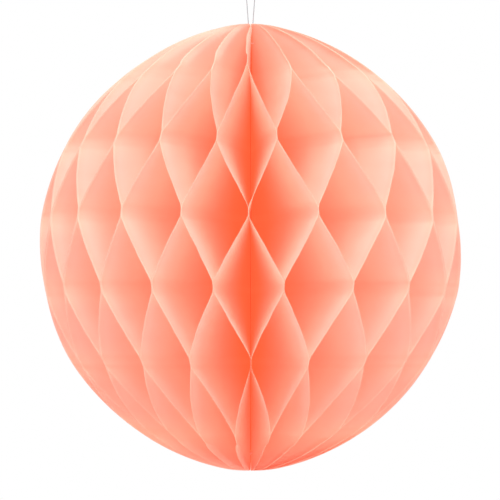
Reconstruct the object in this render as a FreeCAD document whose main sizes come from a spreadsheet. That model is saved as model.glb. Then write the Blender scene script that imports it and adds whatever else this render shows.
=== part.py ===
"""A paper honeycomb ball, hung by a loop of thread.

Forty half-moon sheets of tissue stand round one upright axis. Neighbours are glued in
short strips, at alternate levels on their two sides, so the open ball is a honeycomb. A
card cover is glued to each end of the stack, and the covers meet back to back in a seam.
The frame: +Z up, the seam towards +Y, the origin where the hook bears on the thread.
"""
import FreeCAD, Part
import math
import os
import Sketcher

SIZES = {
    # the open ball, and the outline that its sheets are cut to
    "ball_height": 200.0,
    "ball_width": 187.4,
    "flank_share": 0.5977,
    "side_turn": 43.4,
    "crown_turn": 76.4,
    "core_radius": 2.4,
    # the tissue and its glue
    "paper_thickness": 0.12,
    "glue_gap": 0.05,
    "glue_height": 4.0,
    "level_pitch": 31.4,
    "level_drop": 3.3,
    "fan_skew": 4.3,
    # the covers and the tape that closes the seam
    "card_thickness": 0.4,
    "card_setback": 10.0,
    "tape_thickness": 0.2,
    "tape_width": 12.0,
    "tape_height": 30.0,
    "tape_inset": 12.0,
    "tape_step_in": 9.0,
    "tape_spacing": 48.0,
    # the thread: its ties through the sheets near both poles, and the hanging loop
    "thread_diameter": 0.45,
    "thread_clearance": 0.3,
    "tie_radius": 5.0,
    "tie_depth": 9.0,
    "knot_width": 1.8,
    "knot_height": 2.6,
    "hang_length": 32.0,
    "hook_radius": 2.9,
    "strand_spread": 0.6,
}
SHEET_COUNT = 40
LEVEL_COUNT = 6
TAPE_COUNT = 3

UP = FreeCAD.Vector(0, 0, 1)
SIDE_ON = FreeCAD.Rotation(FreeCAD.Vector(1, 1, 1), 120)  # a sketch that looks along X
FRONT_ON = FreeCAD.Rotation(FreeCAD.Vector(1, 0, 0), 90)  # a sketch that looks along Y

doc = FreeCAD.newDocument("honeycomb_ball")
sheet = doc.addObject("Spreadsheet::Sheet", "Sizes")
for row, (alias, value) in enumerate(SIZES.items(), start=1):
    sheet.set(f"A{row}", alias)
    sheet.set(f"B{row}", str(value))
    sheet.setAlias(f"B{row}", alias)
doc.recompute()

# Formulas that several pieces share, as text for setExpression.
MIDDLE = "(0 - Sizes.hang_length - Sizes.ball_height / 2)"
OUTSIDE = "(Sizes.ball_height / 2 + Sizes.glue_height)"
RIM_PLANE = "(Sizes.ball_width / 2 + Sizes.glue_height)"
CORE_PLANE = "(Sizes.core_radius / 2)"
SEAM_FACE = "((Sizes.tape_thickness + Sizes.glue_gap) / 2)"
SEAM_HALF = f"({SEAM_FACE} + Sizes.card_thickness + Sizes.glue_gap / 2)"
TIE_HEIGHT = "(Sizes.ball_height / 2 - Sizes.tie_depth)"

# The outline turns from its side arc to its flank arc at side_turn, in degrees above level,
# and to its crown arc at crown_turn. The flank's radius is a share of the ball's width, and
# the other two take up what it leaves across and upright, so that the arcs meet in line.
SIDE_COS, SIDE_SIN = "cos(Sizes.side_turn)", "sin(Sizes.side_turn)"
CROWN_COS, CROWN_SIN = "cos(Sizes.crown_turn)", "sin(Sizes.crown_turn)"
FLANK_RADIUS = "(Sizes.flank_share * Sizes.ball_width)"
ACROSS = f"(Sizes.ball_width / 2 - {FLANK_RADIUS} * ({SIDE_COS} - {CROWN_COS}))"
UPRIGHT = f"(Sizes.ball_height / 2 - {FLANK_RADIUS} * ({CROWN_SIN} - {SIDE_SIN}))"
DIVISOR = f"((1 - {SIDE_COS}) * (1 - {CROWN_SIN}) - {CROWN_COS} * {SIDE_SIN})"
SIDE_RADIUS = f"(({ACROSS} * (1 - {CROWN_SIN}) - {UPRIGHT} * {CROWN_COS}) / {DIVISOR})"
CROWN_RADIUS = f"(({UPRIGHT} * (1 - {SIDE_COS}) - {ACROSS} * {SIDE_SIN}) / {DIVISOR})"


def number(formula):
    """The value that a formula has now."""
    return float(sheet.evalExpression(formula))


def column_angle(j):
    """Where the j-th glued column of strips stands, in degrees from the seam: the columns
    at the sides of the open ball are drawn round towards one side by up to fan_skew."""
    turn = 360 * j / SHEET_COUNT
    return f"({turn} + Sizes.fan_skew * sin({turn}) * sin({turn}))"


def column_offset(j):
    """How far the plane of a glued column passes from the axis: the covers hold the first
    and last column apart by their own thickness, and the others share that out evenly."""
    return f"({SEAM_HALF} * {1 - 2 * j / SHEET_COUNT})"


def bearing(k):
    """The direction of the k-th sheet's middle, in degrees from the seam."""
    return f"(({column_angle(k - 1)} + {column_angle(k)}) / 2)"


def side_distance(k, level, plane):
    """How far the k-th sheet stands to the side of its own middle at a glue level, at a
    distance `plane` from the axis: glued to the next sheet, or to the one before."""
    half_angle = f"(({column_angle(k)} - {column_angle(k - 1)}) / 2)"
    spacing = "(Sizes.paper_thickness + Sizes.glue_gap) / 2"
    if (k + level) % 2 == 0:
        return f"({plane} * tan({half_angle}) + {column_offset(k)} - {spacing})"
    return f"({column_offset(k - 1)} + {spacing} - {plane} * tan({half_angle}))"


def level_height(level):
    """The middle of a glue level above the ball's middle; level 0 is the highest."""
    steps = (LEVEL_COUNT - 1) / 2 - level
    return f"({steps} * Sizes.level_pitch - Sizes.level_drop)"


def place(thing, x="0", y="0", z="0"):
    """Binds where a thing stands."""
    for axis, formula in (("x", x), ("y", y), ("z", z)):
        thing.setExpression(f"Placement.Base.{axis}", formula)


def turn_to(thing, degrees):
    """Binds a thing's turn about the axis, counted from the seam, which is at +Y."""
    thing.Placement.Rotation = FreeCAD.Rotation(UP, 1)
    thing.setExpression("Placement.Rotation.Angle", f"90 + {degrees}")


def constrain(sketch, kind, *what, formula=None):
    """Adds one constraint, and binds its size if it has one."""
    if formula is None:
        sketch.addConstraint(Sketcher.Constraint(kind, *what))
        return
    index = sketch.addConstraint(Sketcher.Constraint(kind, *what, number(formula)))
    sketch.setExpression(f"Constraints[{index}]", formula)


def new_sketch(name, rotation):
    sketch = doc.addObject("Sketcher::SketchObject", name)
    sketch.Placement.Rotation = rotation
    return sketch


def zigzag_section(name, k, plane):
    """The k-th sheet cut at a distance `plane` from the axis: a band that runs from side
    to side between the glue levels, and stays straight above the first and below the last."""
    heights = [OUTSIDE]
    sides = [side_distance(k, 0, plane)]
    for level in range(LEVEL_COUNT):
        upper = f"{level_height(level)} + Sizes.glue_height / 2"
        lower = f"{level_height(level)} - Sizes.glue_height / 2"
        side = side_distance(k, level, plane)
        heights += [upper, lower]
        sides += [side, side]
    # the first and last strips run on to the poles, so their outer ends are not corners
    del heights[1], sides[1], heights[-1], sides[-1]
    heights.append(f"(0 - {OUTSIDE})")
    sides.append(sides[-1])

    half = number("Sizes.paper_thickness / 2")
    left = [FreeCAD.Vector(number(s) - half, number(h), 0) for s, h in zip(sides, heights)]
    right = [point + FreeCAD.Vector(2 * half, 0, 0) for point in left]
    corners = left + right[::-1]
    count = len(corners)
    sketch = new_sketch(name, SIDE_ON)
    place(sketch, x=plane, z=MIDDLE)
    sketch.addGeometry([
        Part.LineSegment(corners[i], corners[(i + 1) % count]) for i in range(count)
    ])
    # corner i is the start of line i, and the corner across the band from it is its mate
    for i in range(count):
        constrain(sketch, "Coincident", i, 2, (i + 1) % count, 1)
    for i, (side, height) in enumerate(zip(sides, heights)):
        mate = count - 1 - i
        constrain(sketch, "Horizontal", i, 1, mate, 1)
        constrain(sketch, "DistanceY", -1, 1, i, 1, formula=height)
        if i % 2 == 0:
            constrain(sketch, "Vertical", i)
            constrain(sketch, "Vertical", mate - 1)
            constrain(sketch, "DistanceX", -1, 1, i, 1,
                      formula=f"{side} - Sizes.paper_thickness / 2")
            constrain(sketch, "DistanceX", i, 1, mate, 1, formula="Sizes.paper_thickness")
    return sketch


def outline_sketch():
    """Half of the ball's upright section: a straight core, and five tangent arcs."""
    side_radius, flank_radius = number(SIDE_RADIUS), number(FLANK_RADIUS)
    crown_radius, core = number(CROWN_RADIUS), number("Sizes.core_radius")
    lean = math.radians(number("Sizes.side_turn"))
    steep = math.radians(number("Sizes.crown_turn"))
    side = FreeCAD.Vector(number("Sizes.ball_width / 2") - side_radius, 0, 0)
    leaning = FreeCAD.Vector(math.cos(lean), math.sin(lean), 0)
    flank = side - leaning * (flank_radius - side_radius)
    crown = FreeCAD.Vector(0, number("Sizes.ball_height / 2") - crown_radius, 0)
    tip = math.acos(core / crown_radius)

    def arc(centre, size, start, end):
        circle = Part.Circle(centre, UP, size)
        return Part.ArcOfCircle(circle, start, end)

    def below(point):
        return FreeCAD.Vector(point.x, -point.y, 0)

    edge = crown.y + crown_radius * math.sin(tip)
    sketch = new_sketch("ball_outline", FRONT_ON)
    place(sketch, z=MIDDLE)
    sketch.addGeometry([
        arc(below(crown), crown_radius, -tip, -steep),
        arc(below(flank), flank_radius, -steep, -lean),
        arc(side, side_radius, -lean, lean),
        arc(flank, flank_radius, lean, steep),
        arc(crown, crown_radius, steep, tip),
        Part.LineSegment(FreeCAD.Vector(core, edge, 0), FreeCAD.Vector(core, -edge, 0)),
    ])
    for i in range(4):
        constrain(sketch, "Tangent", i, 2, i + 1, 1)
    constrain(sketch, "Coincident", 4, 2, 5, 1)
    constrain(sketch, "Coincident", 5, 2, 0, 1)
    constrain(sketch, "Vertical", 5)
    constrain(sketch, "DistanceX", -1, 1, 5, 1, formula="Sizes.core_radius")
    radii = (CROWN_RADIUS, FLANK_RADIUS, SIDE_RADIUS, FLANK_RADIUS, CROWN_RADIUS)
    for i, radius in enumerate(radii):
        constrain(sketch, "Radius", i, formula=radius)
    constrain(sketch, "PointOnObject", 0, 3, -2)
    constrain(sketch, "PointOnObject", 4, 3, -2)
    constrain(sketch, "PointOnObject", 2, 3, -1)
    crown_height = f"Sizes.ball_height / 2 - {CROWN_RADIUS}"
    constrain(sketch, "DistanceY", -1, 1, 4, 3, formula=crown_height)
    constrain(sketch, "DistanceY", 0, 3, -1, 1, formula=crown_height)
    return sketch


def torus(name, tube, height):
    """A ring of the tie's radius about the axis."""
    ring = doc.addObject("Part::Torus", name)
    ring.setExpression("Radius1", "Sizes.tie_radius")
    ring.setExpression("Radius2", tube)
    place(ring, z=f"{MIDDLE} + {height}")
    return ring


def ball_envelope():
    """The turned shape of the open ball, hollow along its core, with a channel for each tie."""
    turned = doc.addObject("Part::Revolution", "turned_outline")
    turned.Source = outline_sketch()
    turned.Axis = UP
    turned.Angle = 360
    turned.Solid = True
    room = "Sizes.thread_diameter / 2 + Sizes.thread_clearance"
    envelope = turned
    for end, height in (("top", TIE_HEIGHT), ("bottom", f"(0 - {TIE_HEIGHT})")):
        cut = doc.addObject("Part::Cut", f"envelope_{end}")
        cut.Base = envelope
        cut.Tool = torus(f"{end}_channel", room, height)
        envelope = cut
    return envelope


def tissue_sheet(k, envelope):
    """One half-moon of tissue, pulled to and fro by its glue strips."""
    loft = doc.addObject("Part::Loft", f"sheet_band_{k:02d}")
    loft.Sections = [
        zigzag_section(f"core_section_{k:02d}", k, CORE_PLANE),
        zigzag_section(f"rim_section_{k:02d}", k, RIM_PLANE),
    ]
    loft.Solid = True
    loft.Ruled = True
    piece = doc.addObject("Part::MultiCommon", f"tissue_sheet_{k:02d}")
    piece.Shapes = [loft, envelope]
    turn_to(piece, bearing(k))
    return piece


def cover_card(name, near_side, envelope):
    """A half-moon card beside the seam, set back from the axis to clear the tie's ends."""
    blank = doc.addObject("Part::Box", f"{name}_blank")
    blank.setExpression("Length", RIM_PLANE)
    blank.setExpression("Width", "Sizes.card_thickness")
    blank.setExpression("Height", f"2 * {OUTSIDE}")
    place(blank, x="Sizes.card_setback", y=near_side, z=f"{MIDDLE} - {OUTSIDE}")
    piece = doc.addObject("Part::MultiCommon", name)
    piece.Shapes = [blank, envelope]
    turn_to(piece, "0")
    return piece


def tape_strip(i):
    """A strip of double-sided tape on the first cover, near its rim."""
    piece = doc.addObject("Part::Box", f"seam_tape_{i + 1}")
    piece.setExpression("Length", "Sizes.tape_width")
    piece.setExpression("Width", "Sizes.tape_thickness")
    piece.setExpression("Height", "Sizes.tape_height")
    piece.Placement.Rotation = FreeCAD.Rotation(UP, 90)
    step = i - (TAPE_COUNT - 1) / 2
    inset = f"(Sizes.tape_inset + Sizes.tape_step_in * {abs(step)})"
    place(
        piece,
        x=f"0 - {SEAM_FACE} + Sizes.tape_thickness",
        y=f"Sizes.ball_width / 2 - {inset} - Sizes.tape_width",
        z=f"{MIDDLE} + {step} * Sizes.tape_spacing - Sizes.tape_height / 2",
    )
    return piece


def thread_tie(name, height):
    """A ring of thread through every sheet, whose two ends come in along the seam to the
    knot, one over the other."""
    strands = [torus(f"{name}_ring", "Sizes.thread_diameter / 2", height)]
    for side in (-1, 1):
        end = doc.addObject("Part::Cylinder", f"{name}_end_{len(strands)}")
        end.setExpression("Radius", "Sizes.thread_diameter / 2")
        end.setExpression("Height", "Sizes.tie_radius")
        end.Placement.Rotation = FreeCAD.Rotation(FreeCAD.Vector(1, 0, 0), -90)
        place(end, z=f"{MIDDLE} + {height} + {side} * Sizes.thread_diameter / 4")
        strands.append(end)
    piece = doc.addObject("Part::MultiFuse", name)
    piece.Shapes = strands
    return piece


def knot(name, height):
    """The knot of a tie, drawn up inside the core."""
    piece = doc.addObject("Part::Ellipsoid", name)
    piece.setExpression("Radius1", "Sizes.knot_height / 2")
    piece.setExpression("Radius2", "Sizes.knot_width / 2")
    piece.setExpression("Radius3", "Sizes.knot_width / 2")
    place(piece, z=f"{MIDDLE} + {height}")
    return piece


def hanging_loop():
    """The loop: two taut strands from the top knot, and an arc over the hook."""
    bend = "(Sizes.hook_radius + Sizes.thread_diameter / 2)"
    foot = "(0 - Sizes.hang_length - Sizes.tie_depth)"
    spread = number("Sizes.strand_spread / 2")
    depth, radius = number(foot), number(bend)
    centre = FreeCAD.Vector(0, number("0 - Sizes.hook_radius"), 0)
    left, right = FreeCAD.Vector(-spread, depth, 0), FreeCAD.Vector(spread, depth, 0)
    shoulder = FreeCAD.Vector(radius, 0, 0)
    path = new_sketch("loop_path", FRONT_ON)
    path.addGeometry([
        Part.LineSegment(left, centre - shoulder),
        Part.ArcOfCircle(Part.Circle(centre, UP, radius), 0, math.pi),
        Part.LineSegment(centre + shoulder, right),
    ])
    constrain(path, "Tangent", 0, 2, 1, 2)
    constrain(path, "Tangent", 1, 1, 2, 1)
    constrain(path, "PointOnObject", 1, 3, -2)
    constrain(path, "Radius", 1, formula=bend)
    constrain(path, "DistanceY", -1, 1, 1, 3, formula="0 - Sizes.hook_radius")
    constrain(path, "DistanceY", -1, 1, 0, 1, formula=foot)
    constrain(path, "Horizontal", 0, 1, 2, 2)
    constrain(path, "DistanceX", 0, 1, -1, 1, formula="Sizes.strand_spread / 2")
    constrain(path, "DistanceX", -1, 1, 2, 2, formula="Sizes.strand_spread / 2")
    section = doc.addObject("Sketcher::SketchObject", "loop_section")
    section.AttachmentSupport = [(path, "Edge1")]
    section.MapMode = "NormalToEdge"
    section.addGeometry(Part.Circle(FreeCAD.Vector(), UP, number("Sizes.thread_diameter / 2")))
    constrain(section, "Coincident", 0, 3, -1, 1)
    constrain(section, "Radius", 0, formula="Sizes.thread_diameter / 2")
    piece = doc.addObject("Part::Sweep", "hanging_loop")
    piece.Sections = [section]
    piece.Spine = (path, ["Edge1", "Edge2", "Edge3"])
    piece.Solid = True
    return piece


def build():
    """Every piece of the ball, under the name of its node."""
    envelope = ball_envelope()
    pieces = [tissue_sheet(k, envelope) for k in range(1, SHEET_COUNT + 1)]
    pieces.append(cover_card("first_cover", SEAM_FACE, envelope))
    last_side = f"(0 - {SEAM_FACE} - Sizes.card_thickness)"
    pieces.append(cover_card("last_cover", last_side, envelope))
    pieces += [tape_strip(i) for i in range(TAPE_COUNT)]
    pieces.append(thread_tie("top_tie", TIE_HEIGHT))
    pieces.append(thread_tie("bottom_tie", f"(0 - {TIE_HEIGHT})"))
    pieces.append(knot("top_knot", TIE_HEIGHT))
    pieces.append(knot("bottom_knot", f"(0 - {TIE_HEIGHT})"))
    pieces.append(hanging_loop())
    return pieces


def check(pieces):
    """Stops on anything that failed to build."""
    for thing in doc.Objects:
        if {"Invalid", "Error"} & set(thing.State):
            raise RuntimeError(f"{thing.Label} is {thing.State}")
    for piece in pieces:
        if piece.Shape.isNull() or not piece.Shape.isValid():
            raise RuntimeError(f"{piece.Label} has no valid shape")
        if len(piece.Shape.Solids) != 1:
            raise RuntimeError(f"{piece.Label} has {len(piece.Shape.Solids)} solids")


os.makedirs("parts", exist_ok=True)
made = build()
for piece in made:
    piece.Label = piece.Name
doc.recompute()
check(made)
for piece in made:
    piece.Shape.exportStep(f"parts/{piece.Label}.step")
print(len(made), "pieces,", round(sum(piece.Shape.Volume for piece in made)), "mm3 in all")
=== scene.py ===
# %% [markdown]
# # A paper honeycomb ball
#
# The real object is a stack of forty half-moon sheets of coral tissue paper. Neighbouring
# sheets are glued together in short strips, at alternate levels, so that the stack opens
# into a round ball of diamond cells. Two loops of thread hold the sheets together near the
# poles, and a longer loop hangs the ball from a hook. This lesson builds its looks in
# Blender: a camera and the hanging loop first, then the sheets, the covers and the finishes.
#
# Every length is in metres, +Z is up, the seam of the ball is towards +Y, and the origin is
# where the hook touches the hanging loop.

# %% The frame
import math
import random

import bmesh
import bpy
from mathutils import Matrix, Vector, noise


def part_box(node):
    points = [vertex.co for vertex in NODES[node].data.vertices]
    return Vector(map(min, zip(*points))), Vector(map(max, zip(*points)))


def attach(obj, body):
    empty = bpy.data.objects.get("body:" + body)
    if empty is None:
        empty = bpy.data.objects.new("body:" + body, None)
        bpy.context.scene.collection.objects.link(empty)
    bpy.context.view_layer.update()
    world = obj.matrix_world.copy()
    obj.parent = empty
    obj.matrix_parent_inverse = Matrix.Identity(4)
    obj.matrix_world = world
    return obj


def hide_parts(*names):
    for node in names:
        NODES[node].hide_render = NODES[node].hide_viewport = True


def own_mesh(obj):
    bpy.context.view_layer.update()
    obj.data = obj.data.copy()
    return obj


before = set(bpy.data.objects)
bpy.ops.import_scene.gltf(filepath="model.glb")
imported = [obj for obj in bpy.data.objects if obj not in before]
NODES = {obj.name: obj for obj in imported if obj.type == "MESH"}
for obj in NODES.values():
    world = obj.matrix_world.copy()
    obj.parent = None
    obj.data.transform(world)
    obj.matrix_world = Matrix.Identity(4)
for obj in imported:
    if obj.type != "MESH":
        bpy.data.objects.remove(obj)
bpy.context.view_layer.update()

MM = 0.001

# %% [markdown]
# ## Where the ball is
#
# A script that works out its places from the model keeps working if the model moves. The box
# of a middle sheet gives the height of the ball's middle, and the ball's size is given as two
# numbers.

# %% The ball's middle and size
sheet_low, sheet_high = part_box("tissue_sheet_20")
MIDDLE = Vector((0, 0, (sheet_low.z + sheet_high.z) / 2))
BALL_HEIGHT = 200.0 * MM
BALL_WIDTH = 187.4 * MM
SHEET_COUNT = 40
LEVEL_COUNT = 6
print("the middle of the ball is", round(MIDDLE.z / MM, 1), "mm below the hook")

# %% [markdown]
# ## The camera
#
# A long lens from a little over a metre away keeps the near cells from looking much larger
# than the far ones. The camera stands slightly below the middle of the ball and slightly to
# one side, so that the narrow cells at the bottom open towards it.

# %% The camera
VIEW_DISTANCE = 1.1
VIEW_DROP = math.radians(2.1)
VIEW_TURN = math.radians(0.6)


def make_camera():
    """A camera that looks almost level at the middle of the ball."""
    lens = bpy.data.cameras.new("ball_camera")
    lens.lens = 177.6
    lens.sensor_width = 36
    camera = bpy.data.objects.new("ball_camera", lens)
    bpy.context.scene.collection.objects.link(camera)
    away = Vector((
        math.sin(VIEW_TURN) * math.cos(VIEW_DROP),
        -math.cos(VIEW_TURN) * math.cos(VIEW_DROP),
        -math.sin(VIEW_DROP),
    ))
    aim = MIDDLE + Vector((-0.3 * MM, 0, -0.9 * MM))
    camera.location = MIDDLE + away * VIEW_DISTANCE
    camera.rotation_euler = (aim - camera.location).to_track_quat("-Z", "Y").to_euler()
    lens.clip_start = 0.05
    lens.clip_end = 20
    bpy.context.scene.camera = camera
    return camera


camera = make_camera()
print("the camera stands at", [round(v, 3) for v in camera.location])

# %% [markdown]
# ## Thread
#
# Sewing thread is two or three thin plies twisted round each other, and at this size the
# twist is what makes it read as thread and not as wire. A curve object can be turned into a
# mesh at any time with `new_from_object`: a curve with no bevel gives the points of its
# line, and a curve with a bevel gives a tube. So the line of a thread is one smooth NURBS
# curve, its points are read back, each ply winds round them as a helix, and each ply
# becomes a tube. The plies touch each other, like three circles inside a circle.

# %% Lines and tubes from curves
THREAD_DIAMETER = 0.45 * MM
PLY_COUNT = 3
TWIST_PITCH = 1.6 * MM
POINT_STEP = 0.16 * MM
PLY_RADIUS = THREAD_DIAMETER / 2 / (1 + 1 / math.sin(math.pi / PLY_COUNT))


def link(thing):
    bpy.context.scene.collection.objects.link(thing)
    return thing


def curve_mesh(spline_type, points, radius=0, closed=False, steps=12):
    """The mesh of one spline: the points of its line, or a tube if it has a radius."""
    line = bpy.data.curves.new("line", "CURVE")
    line.dimensions = "3D"
    line.bevel_depth = radius
    line.bevel_resolution = 1
    line.use_fill_caps = radius > 0 and not closed
    line.resolution_u = steps
    spline = line.splines.new(spline_type)
    spline.points.add(len(points) - 1)
    for corner, point in zip(spline.points, points):
        corner.co = (*point, 1)
    if spline_type == "NURBS":
        spline.order_u = 3
        spline.use_endpoint_u = not closed
    spline.use_cyclic_u = closed
    holder = link(bpy.data.objects.new("line", line))
    bpy.context.view_layer.update()
    mesh = bpy.data.meshes.new_from_object(holder)
    bpy.data.objects.remove(holder)
    bpy.data.curves.remove(line)
    return mesh


def line_points(points, steps=12, closed=False):
    """The points of the smooth NURBS line that a route is drawn up to."""
    return [v.co.copy() for v in curve_mesh("NURBS", points, steps=steps, closed=closed).vertices]


def even_points(line, step):
    """Points at an even distance along a line of many points."""
    spaced = [line[0]]
    gone = 0.0
    for start, end in zip(line, line[1:]):
        run = (end - start).length
        while gone + run >= step:
            start = start.lerp(end, (step - gone) / run)
            spaced.append(start)
            run = (end - start).length
            gone = 0.0
        gone += run
    spaced.append(line[-1])
    return spaced


def ply_line(line, ply, pitch, closed=False):
    """The helix that one ply winds round a line."""
    radius = THREAD_DIAMETER / 2 - PLY_RADIUS
    turn = ply * 2 * math.pi / PLY_COUNT
    side = Vector((0, 1, 0))
    wound = []
    count = len(line)
    for i, point in enumerate(line):
        before = line[i - 1] if closed or i > 0 else point
        after = line[(i + 1) % count] if closed or i < count - 1 else point
        along = (after - before).normalized()
        side = (side - along * side.dot(along)).normalized()
        wound.append(point + Matrix.Rotation(turn, 3, along) @ side * radius)
        turn += 2 * math.pi * (after - point).length / pitch
    return wound


def thread_mesh(name, line, closed=False):
    """A twisted thread along a line of close points."""
    bm = bmesh.new()
    pitch = TWIST_PITCH
    if closed:
        length = sum((b - a).length for a, b in zip(line, line[1:] + line[:1]))
        pitch = length / round(length / TWIST_PITCH)
    for ply in range(PLY_COUNT):
        tube = curve_mesh("POLY", ply_line(line, ply, pitch, closed), PLY_RADIUS, closed)
        bm.from_mesh(tube)
    bmesh.ops.recalc_face_normals(bm, faces=bm.faces)
    for face in bm.faces:
        face.smooth = True
    mesh = bpy.data.meshes.new(name)
    bm.to_mesh(mesh)
    bm.free()
    return mesh


print("one ply is", round(2 * PLY_RADIUS / MM, 3), "mm thick")

# %% [markdown]
# ## The hanging loop
#
# The loop is a cord: a fixed length of limp thread, held taut by the ball's weight. It goes
# straight up from the knot inside the top of the ball, over the hook, and back down. A
# NURBS curve of order 3 passes near its inner points and starts and ends on the outer two,
# so four corners make the whole loop, and one more point on each straight run, a few
# diameters below the hook, keeps the run straight until the thread bends round the hook.

# %% The hanging loop
LOOP_ROUTE = [
    Vector((-0.3, 0, -41)) * MM,
    Vector((-2.92, 0, -5.6)) * MM,
    Vector((-3.35, 0, 0.225)) * MM,
    Vector((3.35, 0, 0.225)) * MM,
    Vector((2.92, 0, -5.6)) * MM,
    Vector((0.3, 0, -41)) * MM,
]


def line_length(line):
    return sum((b - a).length for a, b in zip(line, line[1:]))


loop_line = even_points(line_points(LOOP_ROUTE, steps=48), POINT_STEP)
hanging_thread = link(
    bpy.data.objects.new("hanging_thread", thread_mesh("hanging_thread", loop_line))
)
print("the loop's line is", round(line_length(loop_line) / MM, 1), "mm long")

# %% [markdown]
# ## The knots
#
# Near each pole a thread runs through every sheet and is drawn up in a small knot on the
# axis. The simplest real knot is the trefoil, and it has an exact formula: the line winds
# twice round the axis while it weaves up and down three times. Scaled to the size of the
# knot in the model, its turns touch each other like a tight knot's.

# %% The knots
KNOT_POINTS = 90


def trefoil(centre, width, height):
    """A line that is knotted with itself, closed, as wide and high as a drawn-up knot."""
    across = (width - THREAD_DIAMETER) / 2 / 3
    upward = (height - THREAD_DIAMETER) / 2
    line = []
    for i in range(KNOT_POINTS):
        t = 2 * math.pi * i / KNOT_POINTS
        line.append(centre + Vector((
            across * (math.sin(t) + 2 * math.sin(2 * t)),
            across * (math.cos(t) - 2 * math.cos(2 * t)),
            -upward * math.sin(3 * t),
        )))
    return line


def make_knot(node):
    """A knot in place of the plain one in the model."""
    low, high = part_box(node)
    centre = (low + high) / 2
    line = trefoil(centre, high.x - low.x, high.z - low.z)
    knot = link(bpy.data.objects.new(f"{node}_thread", thread_mesh(node, line, closed=True)))
    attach(knot, "fixed_cover")
    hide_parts(node)
    return knot


top_knot = make_knot("top_knot")
bottom_knot = make_knot("bottom_knot")
print("the knots have", len(top_knot.data.polygons), "faces each")

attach(hanging_thread, "fixed_cover")
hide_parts("hanging_loop")

# %% [markdown]
# ## The outline of a sheet
#
# Each sheet is a half-moon: straight along the axis and curved along the rim. The curve is
# three arcs that meet in line, a side arc round the middle, a flatter flank arc, and a
# tighter crown arc over the pole. The distance from the axis to the rim at any height is
# then one short formula.

# %% The rim of a half-moon
CORE_RADIUS = 1.2 * MM
SIDE_RADIUS, SIDE_TURN = 97.0 * MM, math.radians(43.4)
FLANK_RADIUS, CROWN_TURN = 112.0 * MM, math.radians(76.4)
CROWN_RADIUS = 51.6 * MM
SIDE_CENTRE = Vector((BALL_WIDTH / 2 - SIDE_RADIUS, 0))
FLANK_CENTRE = SIDE_CENTRE - (FLANK_RADIUS - SIDE_RADIUS) * Vector(
    (math.cos(SIDE_TURN), math.sin(SIDE_TURN))
)
CROWN_CENTRE = Vector((0, BALL_HEIGHT / 2 - CROWN_RADIUS))
TIP_TURN = math.acos(CORE_RADIUS / CROWN_RADIUS)
BOTTOM_PRESS = 1.3 * MM


def rim_point(turn):
    """The point of the rim that faces `turn` above the level: (from the axis, height). The
    bottom is pressed a little flat, as on a ball that was stood down before it was hung."""
    centre, radius = SIDE_CENTRE, SIDE_RADIUS
    if abs(turn) > SIDE_TURN:
        centre, radius = FLANK_CENTRE, FLANK_RADIUS
    if abs(turn) > CROWN_TURN:
        centre, radius = CROWN_CENTRE, CROWN_RADIUS
    up = 1 if turn >= 0 else -1
    height = up * (centre.y + radius * math.sin(abs(turn)))
    pressed = max(0, -turn - SIDE_TURN) / (math.pi / 2 - SIDE_TURN)
    return centre.x + radius * math.cos(turn), height + BOTTOM_PRESS * pressed ** 2


def half_moon_area(count=400):
    """The area of the flat sheet, as thin level slices."""
    rim = [rim_point(TIP_TURN * (2 * i / count - 1)) for i in range(count + 1)]
    return sum(
        ((x0 + x1) / 2 - CORE_RADIUS) * (z1 - z0) for (x0, z0), (x1, z1) in zip(rim, rim[1:])
    )


SHEET_AREA = half_moon_area()
print("a flat sheet has", round(SHEET_AREA * 1e4, 1), "square centimetres")

# %% [markdown]
# ## Columns of glue
#
# The glue strips stand in forty-one upright columns round the ball, and in six levels.
# Sheet k touches column k at every second level and column k - 1 at the others, so it
# zigzags between its neighbours. A hand-made ball is never exact: every strip here is
# turned and raised by a small seeded amount, and the two sheets that share a strip share
# those amounts, so they stay glued.

# %% Glue strips
LEVEL_PITCH = 31.4 * MM
LEVEL_DROP = 3.3 * MM
GLUE_HEIGHT = 4.0 * MM
GLUE_SPACING = 0.05 * MM
SEAM_HALF = 0.55 * MM
FAN_SKEW = math.radians(4.3)


def column_angle(j):
    """Where a column of strips stands, counted from the seam: at the sides of the ball the
    columns are drawn round a little."""
    turn = 2 * math.pi * j / SHEET_COUNT
    return turn + FAN_SKEW * math.sin(turn) ** 2


def across_way(angle):
    """The level direction square to an upright plane, `angle` round from the seam."""
    return Vector((-math.cos(angle), -math.sin(angle), 0))


def column_offset(j):
    """How far the plane of a column passes from the axis, because of the covers."""
    return SEAM_HALF * (1 - 2 * j / SHEET_COUNT)


def glued_column(k, level):
    """The column that sheet k is glued to at a level."""
    return k if (k + level) % 2 == 0 else k - 1


# a few strips at the front lean and rise by more: degrees, and millimetres
FRONT_COLUMN = SHEET_COUNT // 2
FRONT_STRIPS = {
    (16, 0): (2.5, 0.0), (18, 0): (2.1, 0.7), (20, 0): (-0.9, 3.4),
    (22, 0): (-0.9, 0.7), (24, 0): (-1.4, -1.2), (21, 1): (-1.0, 0.2),
    (20, 2): (0.0, -0.7), (20, 4): (0.7, -0.2), (17, 5): (0.7, -2.2),
    (19, 5): (1.7, -2.0), (21, 5): (1.2, -1.6), (23, 5): (-1.2, -2.0),
}


def strip_wander():
    """A small turn and rise for every strip. The covers hold the first and last column."""
    chance = random.Random(11)
    wander = {}
    for j in range(SHEET_COUNT + 1):
        free = 0 if j in (0, SHEET_COUNT) else 1
        for level in range(LEVEL_COUNT):
            turn = math.radians(chance.uniform(-0.35, 0.35)) * free
            rise = chance.uniform(-0.6, 0.6) * MM * free
            wander[j, level] = (turn, rise)
    for strip, (lean, rise) in FRONT_STRIPS.items():
        wander[strip] = (math.radians(lean), rise * MM)
    return wander


WANDER = strip_wander()


def sheet_bearing(k):
    return (column_angle(k - 1) + column_angle(k)) / 2


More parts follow.
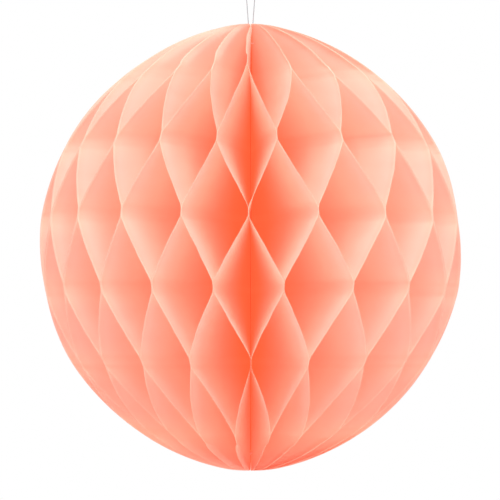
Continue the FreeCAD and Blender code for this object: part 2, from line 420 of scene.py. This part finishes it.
def strip_plane(k, level):
    """Where sheet k is held at a level: (slope, offset) of its distance to the side for a
    distance from the axis, and the height of the strip's middle."""
    j = glued_column(k, level)
    turn, rise = WANDER[j, level]
    angle = column_angle(j) + turn - sheet_bearing(k)
    own_side = -GLUE_SPACING if j == k else GLUE_SPACING
    height = ((LEVEL_COUNT - 1) / 2 - level) * LEVEL_PITCH - LEVEL_DROP + rise
    return math.tan(angle), column_offset(j) + own_side, height


print("sheet 20 is held at", [round(strip_plane(20, n)[2] / MM, 1) for n in range(6)], "mm")

# %% [markdown]
# ## The surface of a sheet
#
# Between two strips the paper runs from one column to the other. It leaves a strip at a
# sharp fold and bends gently on the way, so the share of the way is an even slope mixed
# with a smooth S. The middle of a free panel also bows a little to one side, and soft
# wrinkles die out at the strips, where the glue keeps the paper flat.

# %% Sideways position of a point on a sheet
S_SHARE = 0.05
BOW = 0.4 * MM
WRINKLE = 0.16 * MM
RUFFLE = 0.3 * MM
CURL = 1.3 * MM
CURL_DEPTH = 7 * MM
TIP_LEAN = 1.6 * MM
TIP_REACH = 18 * MM
WAVE_LENGTH = 7 * MM
CREASE_WIDTH = 16 * MM
CREASE_HEIGHT = 5 * MM


def panel_bows():
    """How far each free panel of each sheet bows, between each two levels."""
    chance = random.Random(23)
    return {
        (k, level): chance.uniform(-BOW, BOW)
        for k in range(1, SHEET_COUNT + 1)
        for level in range(-1, LEVEL_COUNT)
    }


BOWS = panel_bows()


def ease(t):
    return t + S_SHARE * (t * t * (3 - 2 * t) - t)


def free_end(k, x, z, rim_gap, strip, above):
    """The panel between the outermost strip and the pole: the sheets of a pair lie close
    together, wave a little where nothing holds them, and curl along the rim."""
    slope, offset, height = strip
    column = glued_column(k, 0 if above else LEVEL_COUNT - 1)
    outer = -1 if column == k else 1
    gone = min(1, abs(z - height) / (BALL_HEIGHT / 2 - abs(height)))
    wave = noise.noise(Vector((column * 5.3, z / WAVE_LENGTH, 0.5)))
    swell = RUFFLE * math.sin(math.pi * gone) * x / (BALL_WIDTH / 2) * (outer + 1.3 * wave)
    near_rim = max(0, 1 - rim_gap / CURL_DEPTH) ** 2 * min(1, 4 * gone, 6 * (1 - gone))
    curl = CURL * near_rim * (-0.75 + 0.5 * wave)
    lean = TIP_LEAN if column == FRONT_COLUMN and above else 0
    return x * slope + offset + swell + curl + lean * gone ** 2 * min(1, x / TIP_REACH)


def sideways(k, x, z, rim_gap, strips):
    """How far to the side of its own middle sheet k stands, x from the axis at height z."""
    half = GLUE_HEIGHT / 2
    if z > strips[0][2] + half:
        return free_end(k, x, z, rim_gap, strips[0], above=True)
    if z < strips[-1][2] - half:
        return free_end(k, x, z, rim_gap, strips[-1], above=False)
    for level, (upper, lower) in enumerate(zip(strips, strips[1:])):
        if z >= upper[2] - half:
            return x * upper[0] + upper[1]
        if z > lower[2] + half:
            t = (upper[2] - half - z) / (upper[2] - lower[2] - GLUE_HEIGHT)
            start, end = x * upper[0] + upper[1], x * lower[0] + lower[1]
            loose = math.sin(math.pi * t) ** 2 * x / (BALL_WIDTH / 2)
            crease = noise.noise(Vector((x / CREASE_WIDTH, z / CREASE_HEIGHT, k * 3.7)))
            bow = BOWS[k, level] + 2 * WRINKLE * crease
            return start + (end - start) * ease(t) + loose * bow
    return x * strips[-1][0] + strips[-1][1]


print("the widest gap between two sheets is",
      round(BALL_WIDTH * math.tan(math.pi / SHEET_COUNT) / MM, 1), "mm")

# %% [markdown]
# ## Making the sheets
#
# A grid is the right start for a sheet of paper: `create_grid` makes even rows and columns,
# with a UV map of the flat paper, and then each point moves to its place. Rows go by the
# turn of the rim and not by height, so they stay close together near the poles, where the
# rim is almost level. Two attributes ride on the points for the finish: how far a point is
# from the cut rim, and how near it is to a level of glue.

# %% The sheets
ROWS = 180
COLUMNS = 30
PAPER_THICKNESS = 0.05 * MM


def nearest_level(z):
    steps = ((LEVEL_COUNT - 1) / 2 * LEVEL_PITCH - LEVEL_DROP - z) / LEVEL_PITCH
    level = min(LEVEL_COUNT - 1, max(0, round(steps)))
    return abs(steps - level) * LEVEL_PITCH


def make_sheet(k):
    """One half-moon of tissue, zigzagging between its neighbours."""
    strips = [strip_plane(k, level) for level in range(LEVEL_COUNT)]
    bearing = sheet_bearing(k)
    outward = Vector((-math.sin(bearing), math.cos(bearing), 0))
    across = across_way(bearing)
    bm = bmesh.new()
    bmesh.ops.create_grid(
        bm, x_segments=COLUMNS, y_segments=ROWS, size=1, calc_uvs=False
    )
    rim_distance = bm.verts.layers.float.new("rim_distance")
    glue_distance = bm.verts.layers.float.new("glue_distance")
    flat = bm.loops.layers.uv.new("flat_paper")
    flat_place = {}
    for vertex in bm.verts:
        rim_x, z = rim_point(TIP_TURN * vertex.co.y)
        share = (vertex.co.x + 1) / 2
        x = CORE_RADIUS + (rim_x - CORE_RADIUS) * (1 - (1 - share) ** 1.3)
        flat_place[vertex] = (x, z)
        vertex[rim_distance] = rim_x - x
        vertex[glue_distance] = nearest_level(z)
        vertex.co = (
            MIDDLE + outward * x + across * sideways(k, x, z, rim_x - x, strips)
            + Vector((0, 0, z))
        )
    for face in bm.faces:
        face.smooth = True
        for loop in face.loops:
            loop[flat].uv = flat_place[loop.vert]
    mesh = bpy.data.meshes.new(f"tissue_{k:02d}")
    bm.to_mesh(mesh)
    bm.free()
    sheet = link(bpy.data.objects.new(f"tissue_{k:02d}", mesh))
    wall = sheet.modifiers.new("paper", "SOLIDIFY")
    wall.thickness = PAPER_THICKNESS
    wall.offset = 0
    return sheet


sheets = [make_sheet(k) for k in range(1, SHEET_COUNT + 1)]
print(len(sheets), "sheets of", len(sheets[0].data.polygons), "faces")

# %% [markdown]
# ## How the sheets fold
#
# When the last cover turns round to the first, the ball closes like a book. Each sheet
# rides on its own body, which swings it round the axis. The covers stop eight degrees
# apart, and the sheets share that room.

# %% Fold with the fan
FOLD_STOP = math.radians(8)
CLOSED_PITCH = FOLD_STOP / SHEET_COUNT
FLAT_SHARE = 0.15


def fold_with_fan(piece, k, width, share):
    """Ride on sheet k. The angle `width` that the piece takes up in the open ball, and its
    `share` of one sheet's room, are not used."""
    across = across_way(sheet_bearing(k))
    centre = MIDDLE + across * (column_offset(k - 1) + column_offset(k)) / 2
    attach(piece, f"sheet_{k:02d}")
    share * CLOSED_PITCH / width
    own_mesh(piece)


for k, sheet in enumerate(sheets, start=1):
    fold_with_fan(sheet, k, column_angle(k) - column_angle(k - 1), FLAT_SHARE)
    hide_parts(f"tissue_sheet_{k:02d}")
print("a closed sheet has", round(math.degrees(CLOSED_PITCH), 2), "degrees of room")

# %% [markdown]
# ## The ties
#
# Each tie is a ring of thread through every sheet, and its two ends come in along the seam
# to the knot. As the ball closes, the holes in the sheets come together, and the ring
# closes with them. So the ring is made once, as one twisted thread, and cut with
# `bisect_plane` into lengths that meet end to end. Each length rides on the sheet at its
# middle, while the two ends stay with the knot.

# %% A ring of thread, cut into lengths
TIE_LENGTHS = 8
SHEETS_PER_LENGTH = SHEET_COUNT // TIE_LENGTHS


def tie_ring(node):
    """The thread of a whole tie, and its middle and radius."""
    low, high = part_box(node)
    centre = Vector((0, 0, (low.z + high.z) / 2))
    radius = (high.x - low.x - THREAD_DIAMETER) / 2
    count = round(2 * math.pi * radius / POINT_STEP)
    line = [
        centre + Vector((
            radius * math.sin(2 * math.pi * i / count),
            radius * math.cos(2 * math.pi * i / count), 0,
        ))
        for i in range(count)
    ]
    return thread_mesh(node, line, closed=True), centre, radius


def cut_length(ring, centre, start, end, name):
    """The length of a ring between two upright planes, with closed ends."""
    bm = bmesh.new()
    bm.from_mesh(ring)
    for angle, side in ((start, 1), (end, -1)):
        everything = [*bm.verts, *bm.edges, *bm.faces]
        bmesh.ops.bisect_plane(
            bm, geom=everything, dist=1e-7, plane_co=centre,
            plane_no=across_way(angle) * side, clear_inner=True,
        )
    bmesh.ops.holes_fill(bm, edges=[edge for edge in bm.edges if edge.is_boundary], sides=0)
    mesh = bpy.data.meshes.new(name)
    bm.to_mesh(mesh)
    bm.free()
    return link(bpy.data.objects.new(name, mesh))


def make_tie(node):
    """The lengths of a tie, each folding with its own sheet."""
    ring, centre, radius = tie_ring(node)
    lengths = []
    for i in range(TIE_LENGTHS):
        first, last = i * SHEETS_PER_LENGTH, (i + 1) * SHEETS_PER_LENGTH
        start, end = column_angle(first), column_angle(last)
        length = cut_length(ring, centre, start, end, f"{node}_length_{i + 1}")
        fold_with_fan(length, (first + last + 1) // 2, end - start, SHEETS_PER_LENGTH)
        lengths.append(length)
    bpy.data.meshes.remove(ring)
    return lengths, centre, radius


def tie_ends(node, centre, radius):
    """The two ends of a tie. They leave the ring together, part until one lies over the
    other, and stop inside the knot."""
    steps, parted_at, inside_knot = 30, 8, 28
    bm = bmesh.new()
    for side in (-1, 1):
        lift = Vector((0, 0, side * THREAD_DIAMETER / 2))
        line = [
            centre + Vector((0, radius - radius * i / steps, 0)) + lift * min(1, i / parted_at)
            for i in range(inside_knot)
        ]
        bm.from_mesh(thread_mesh(f"{node}_end", line))
    mesh = bpy.data.meshes.new(f"{node}_ends")
    bm.to_mesh(mesh)
    bm.free()
    ends = link(bpy.data.objects.new(f"{node}_ends", mesh))
    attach(ends, "fixed_cover")
    return ends


# %% The ties
tie_pieces = []
for node in ("top_tie", "bottom_tie"):
    lengths, centre, radius = make_tie(node)
    for piece in (*lengths, tie_ends(node, centre, radius)):
        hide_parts(node)
        tie_pieces.append(piece)
print(len(tie_pieces), "pieces of thread tie the sheets together")

# %% [markdown]
# ## Shader maths as plain arithmetic
#
# A pattern in a material is arithmetic on values, and node by node it is hard to read. The
# small class below wraps a socket that carries a number, so that `1 - mask * 0.5` adds the
# Math nodes by itself. One more method adds any other node.

# %% Values and finishes
class Value:
    """A number that varies over a surface."""

    def __init__(self, finish, socket):
        self.finish = finish
        self.socket = socket

    def maths(self, operation, *numbers):
        inputs = dict(enumerate(numbers))
        return self.finish.node("ShaderNodeMath", {"operation": operation}, inputs)

    def __add__(self, other):
        return self.maths("ADD", self, other)

    def __sub__(self, other):
        return self.maths("SUBTRACT", self, other)

    def __mul__(self, other):
        return self.maths("MULTIPLY", self, other)

    def __truediv__(self, other):
        return self.maths("DIVIDE", self, other)

    def __rsub__(self, other):
        return self.maths("SUBTRACT", other, self)

    def __rtruediv__(self, other):
        return self.maths("DIVIDE", other, self)

    __radd__ = __add__
    __rmul__ = __mul__

    def clamp(self):
        return self.finish.node("ShaderNodeClamp", {}, {"Value": self})


class Finish:
    """A material, built up node by node."""

    def __init__(self, name):
        self.material = bpy.data.materials.new(name)
        self.material.use_nodes = True
        self.tree = self.material.node_tree
        self.tree.nodes.clear()

    def node(self, kind, settings, inputs, output=0):
        """Adds a node with its settings, then its inputs by name or number."""
        node = self.tree.nodes.new(kind)
        for name, value in settings.items():
            if name == "stops":
                self.set_stops(node.color_ramp, value)
            else:
                setattr(node, name, value)
        by_identifier = {socket.identifier: socket for socket in node.inputs}
        for key, value in inputs.items():
            socket = node.inputs[key] if isinstance(key, int) else by_identifier.get(key)
            socket = node.inputs[key] if socket is None else socket
            if isinstance(value, Value):
                self.tree.links.new(value.socket, socket)
            else:
                socket.default_value = value
        return Value(self, node.outputs[output])

    def set_stops(self, ramp, stops):
        while len(ramp.elements) < len(stops):
            ramp.elements.new(0.5)
        for element, (place, colour) in zip(ramp.elements, stops):
            element.position = place
            element.color = (*colour, 1)

    def attribute(self, name):
        return self.node("ShaderNodeAttribute", {"attribute_name": name}, {}, output=2)

    def coordinate(self, vector, number):
        return self.node("ShaderNodeSeparateXYZ", {}, {"Vector": vector}, output=number)

    def mix(self, share, first, second):
        """A colour between two colours."""
        first = first if isinstance(first, Value) else (*first, 1)
        second = second if isinstance(second, Value) else (*second, 1)
        node = self.tree.nodes.new("ShaderNodeMix")
        node.data_type = "RGBA"
        for key, value in (("Factor_Float", share), ("A_Color", first), ("B_Color", second)):
            socket = next(s for s in node.inputs if s.identifier == key)
            if isinstance(value, Value):
                self.tree.links.new(value.socket, socket)
            else:
                socket.default_value = value
        result = next(s for s in node.outputs if s.identifier == "Result_Color")
        return Value(self, result)

    def surface(self, shader):
        end = self.tree.nodes.new("ShaderNodeOutputMaterial")
        self.tree.links.new(shader.socket, end.inputs["Surface"])
        return self.material


# %% [markdown]
# ## Tissue paper
#
# Tissue is thin enough to let light through: a sheet shows the light that falls on its far
# side almost as brightly as the light on its near side. A Translucent BSDF is exactly that,
# and mixing it with a plain rough surface makes paper. The Translucent colour is one even
# colour, and everything that varies goes into the rough surface.
#
# Light and shade are painted into the colour: it is palest in a band just inside the cut rim,
# where light gets in, and deepest far inside a cell and under the ball, where shade falls.
# Long fibres and soft clouds run through the sheet, and the glue shows as a faint level band.

# %% The paper's tone, with painted light and shade
DEPTH = 85 * MM
# Painted light and shade, by distance from the cut rim: a lit band just inside the rim, shaded
# panels, and a shaded heart deep in a cell.
RIM_PAINTED_SHADE = (0.99, 0.61, 0.51)
BAND_PAINTED_LIGHT = (0.99, 0.72, 0.65)
PANEL_PAINTED_SHADE = (0.99, 0.69, 0.605)
HEART_TONE_AND_PAINTED_SHADE = (0.99, 0.59, 0.43)
GLUE_COLOUR = (0.99, 0.86, 0.80)
THROUGH_COLOUR = (0.99, 0.68, 0.595)
CROWN_FROM = 50 * MM
CROWN_REACH = 40 * MM


def paper_tone_and_painted_light(finish, inward, paper, fibres, clouds):
    """The colour of the sheet, with painted light and shade from the rim inwards
    and painted shade under the ball.
    """
    # Painted light and shade: palest just inside the rim, where light gets in, and deeper towards
    # the heart of a cell, where shade falls.
    colour = finish.node("ShaderNodeValToRGB", {"stops": [
        (0.0, RIM_PAINTED_SHADE),
        (4 * MM / DEPTH, BAND_PAINTED_LIGHT),
        (32 * MM / DEPTH, PANEL_PAINTED_SHADE),
        (1.0, HEART_TONE_AND_PAINTED_SHADE),
    ]}, {"Fac": inward})
    deeper = (clouds - 0.5) * 0.10 + (fibres - 0.5) * 0.08 + 0.05
    colour = finish.mix(deeper.clamp(), colour, HEART_TONE_AND_PAINTED_SHADE)
    band = (1 - finish.attribute("glue_distance") / (GLUE_HEIGHT * 0.55)).clamp()
    colour = finish.mix(band * 0.35, colour, GLUE_COLOUR)
    # Painted shade: the paper turns deeper under the ball, where less light falls.
    under_ball_shade = ((-CROWN_FROM - finish.coordinate(paper, 1)) / CROWN_REACH).clamp()
    return finish.mix(under_ball_shade * 0.65, colour, HEART_TONE_AND_PAINTED_SHADE)


# %% [markdown]
# ## Light inside the cells
#
# Light goes on through sheet after sheet, and tints itself each time, which is why the heart
# of a cell is a hot orange and not dark. A render stops following light after a few
# surfaces, so a weak glow stands in for the rest. It grows with the distance from the rim,
# and turns more orange as it does. It is also stronger in the narrow wedges where two sheets
# meet at the glue, near the crown, where light comes in from above, and right at the core.

# %% The glow
PANEL_GLOW = (0.28, 0.15, 0.105)
HEART_GLOW = (0.30, 0.120, 0.054)
WEDGE_GLOW = (0.40, 0.205, 0.15)
WEDGE_HEIGHT = 10 * MM
OUTSIDE_DEPTH = DEPTH / 2
CROWN_GLOW = (0.62, 0.36, 0.29)
CORE_GLOW = (0.62, 0.15, 0.06)
CORE_DEPTH = 3 * MM


def deep_glow(finish, inward, paper):
    """The light that many sheets pass on."""
    glow = finish.node("ShaderNodeValToRGB", {"stops": [
        (2 * MM / DEPTH, (0, 0, 0)),
        (20 * MM / DEPTH, PANEL_GLOW),
        (36 * MM / DEPTH, PANEL_GLOW),
        (68 * MM / DEPTH, HEART_GLOW),
    ]}, {"Fac": inward})
    outside = (1 - inward * (DEPTH / OUTSIDE_DEPTH)).clamp()
    wedge = (1 - finish.attribute("glue_distance") / WEDGE_HEIGHT).clamp()
    glow = finish.mix(wedge * outside, glow, WEDGE_GLOW)
    crown = ((finish.coordinate(paper, 1) - CROWN_FROM) / CROWN_REACH).clamp()
    glow = finish.mix(crown * outside * 0.5, glow, CROWN_GLOW)
    core = (1 - (finish.coordinate(paper, 0) - CORE_RADIUS) / CORE_DEPTH).clamp()
    return finish.mix(core, glow, CORE_GLOW)


# %% The tissue finish
FIBRES_PER_METRE = (380, 1900, 1)
CLOUDS_PER_METRE = 90.0
THROUGH_SHARE = 0.65


def tissue_finish():
    finish = Finish("coral_tissue")
    inward = finish.attribute("rim_distance") / DEPTH
    paper = finish.node("ShaderNodeUVMap", {"uv_map": "flat_paper"}, {})
    stretched = finish.node(
        "ShaderNodeVectorMath", {"operation": "MULTIPLY"}, {0: paper, 1: FIBRES_PER_METRE}
    )
    fibres = finish.node("ShaderNodeTexNoise", {}, {
        "Vector": stretched, "Scale": 1.0, "Detail": 4.0, "Roughness": 0.6, "Distortion": 0.8,
    })
    clouds = finish.node("ShaderNodeTexNoise", {}, {
        "Vector": paper, "Scale": CLOUDS_PER_METRE, "Detail": 3.0, "Roughness": 0.55,
    })
    relief = finish.node("ShaderNodeBump", {}, {
        "Strength": 0.25, "Distance": 0.15 * MM, "Height": fibres * 0.35 + clouds * 0.65,
    })
    near_side = finish.node("ShaderNodeBsdfPrincipled", {}, {
        "Base Color": paper_tone_and_painted_light(finish, inward, paper, fibres, clouds),
        "Roughness": 0.85, "Specular IOR Level": 0.15, "Normal": relief,
        "Emission Color": deep_glow(finish, inward, paper), "Emission Strength": 1.0,
    })
    far_side = finish.node("ShaderNodeBsdfTranslucent", {}, {
        "Color": (*THROUGH_COLOUR, 1), "Normal": relief,
    })
    return finish.surface(
        finish.node("ShaderNodeMixShader", {}, {0: THROUGH_SHARE, 1: near_side, 2: far_side})
    )


tissue = tissue_finish()
for sheet in sheets:
    sheet.data.materials.append(tissue)
print("the tissue has", len(tissue.node_tree.nodes), "nodes")

# %% [markdown]
# ## Card, tape and thread
#
# The two covers and the tape keep the model's own shapes, and get finishes. The card is
# dyed like the tissue but stiff and opaque, with flecks of pulp. The tape is a thin milky
# film. The loop is grey cotton and the ties are white, both with fine hairs across their
# plies. These patterns read Object coordinates, because the model's pieces carry no map of
# their own.

# %% The card finish
def card_finish():
    finish = Finish("coral_card")
    place = finish.node("ShaderNodeTexCoord", {}, {}, output=3)
    pulp = finish.node("ShaderNodeTexNoise", {}, {
        "Vector": place, "Scale": 900.0, "Detail": 5.0, "Roughness": 0.65,
    })
    clouds = finish.node("ShaderNodeTexNoise", {}, {"Vector": place, "Scale": 60.0, "Detail": 2.0})
    fleck = ((pulp - 0.6) * 6).clamp()
    colour = finish.mix(fleck * 0.35 + clouds * 0.2, (0.93, 0.36, 0.25), (0.80, 0.24, 0.15))
    relief = finish.node("ShaderNodeBump", {}, {
        "Strength": 0.35, "Distance": 0.1 * MM, "Height": pulp,
    })
    return finish.surface(finish.node("ShaderNodeBsdfPrincipled", {}, {
        "Base Color": colour, "Roughness": 0.78, "Specular IOR Level": 0.3, "Normal": relief,
    }))


# %% The tape finish
def tape_finish():
    finish = Finish("milky_tape")
    place = finish.node("ShaderNodeTexCoord", {}, {}, output=3)
    specks = finish.node("ShaderNodeTexNoise", {}, {
        "Vector": place, "Scale": 500.0, "Detail": 3.0, "Roughness": 0.5,
    })
    colour = finish.mix(specks, (0.86, 0.84, 0.78), (0.93, 0.92, 0.88))
    relief = finish.node("ShaderNodeBump", {}, {
        "Strength": 0.15, "Distance": 0.05 * MM, "Height": specks,
    })
    return finish.surface(finish.node("ShaderNodeBsdfPrincipled", {}, {
        "Base Color": colour, "Roughness": 0.32, "Normal": relief,
    }))


# %% The thread finish
def thread_finish(name, shaded, lit):
    finish = Finish(name)
    place = finish.node("ShaderNodeTexCoord", {}, {}, output=3)
    hairs = finish.node("ShaderNodeTexNoise", {}, {
        "Vector": place, "Scale": 9000.0, "Detail": 3.0, "Roughness": 0.6,
    })
    shade = finish.node("ShaderNodeTexNoise", {}, {"Vector": place, "Scale": 400.0})
    colour = finish.mix(hairs * 0.6 + shade * 0.3, shaded, lit)
    relief = finish.node("ShaderNodeBump", {}, {
        "Strength": 0.5, "Distance": 0.03 * MM, "Height": hairs,
    })
    return finish.surface(finish.node("ShaderNodeBsdfPrincipled", {}, {
        "Base Color": colour, "Roughness": 0.7, "Sheen Weight": 0.3, "Normal": relief,
    }))


# %% Put the finishes on
def put_on(finish, things):
    for thing in things:
        thing.data.materials.clear()
        thing.data.materials.append(finish)


put_on(card_finish(), [NODES["first_cover"], NODES["last_cover"]])
put_on(tape_finish(), [NODES[f"seam_tape_{i}"] for i in (1, 2, 3)])
grey_thread = thread_finish("grey_thread", (0.20, 0.215, 0.23), (0.40, 0.42, 0.44))
white_thread = thread_finish("white_thread", (0.72, 0.70, 0.67), (0.90, 0.88, 0.85))
put_on(grey_thread, [hanging_thread])
put_on(white_thread, [top_knot, bottom_knot, *tie_pieces])
print("finishes are on", len(NODES), "nodes and the new pieces")

# %% [markdown]
# ## A plain studio
#
# Paper looks its best in soft light from all round: a white world, one large soft light
# above and in front, two weak ones at the sides, and a pale floor half a metre below that
# throws light back up. The view transform is Standard, so that white paper and a white room
# stay white.

# %% The studio
FLOOR_DROP = 0.5
FLOOR_HALF = 4


def area_light(name, place, size, power):
    lamp = bpy.data.lights.new(name, "AREA")
    lamp.shape = "RECTANGLE"
    lamp.size, lamp.size_y = size
    lamp.energy = power
    holder = link(bpy.data.objects.new(name, lamp))
    holder.location = place
    holder.rotation_euler = (MIDDLE - Vector(place)).to_track_quat("-Z", "Y").to_euler()
    return holder


def white_world(strength):
    world = bpy.data.worlds.new("white_room")
    world.use_nodes = True
    background = world.node_tree.nodes["Background"]
    background.inputs["Color"].default_value = (1, 1, 1, 1)
    background.inputs["Strength"].default_value = strength
    bpy.context.scene.world = world


def pale_floor():
    bm = bmesh.new()
    bmesh.ops.create_grid(bm, x_segments=2, y_segments=2, size=FLOOR_HALF)
    level = MIDDLE.z - BALL_HEIGHT / 2 - FLOOR_DROP
    bmesh.ops.translate(bm, vec=(0, 0, level), verts=bm.verts)
    mesh = bpy.data.meshes.new("floor")
    bm.to_mesh(mesh)
    bm.free()
    floor = link(bpy.data.objects.new("floor", mesh))
    finish = Finish("pale_floor")
    put_on(finish.surface(finish.node("ShaderNodeBsdfPrincipled", {}, {
        "Base Color": (0.94, 0.94, 0.94, 1), "Roughness": 0.9,
    })), [floor])


white_world(1.0)
area_light("top_light", (0.05, -0.72, 1.0), (1.0, 1.0), 23)
area_light("left_light", (-1.3, -1.0, 0.55), (1.0, 1.0), 5)
area_light("right_light", (1.3, -1.0, 0.55), (1.0, 1.0), 3)
pale_floor()
bpy.context.scene.view_settings.view_transform = "Standard"
print("the lights and the floor are in place")
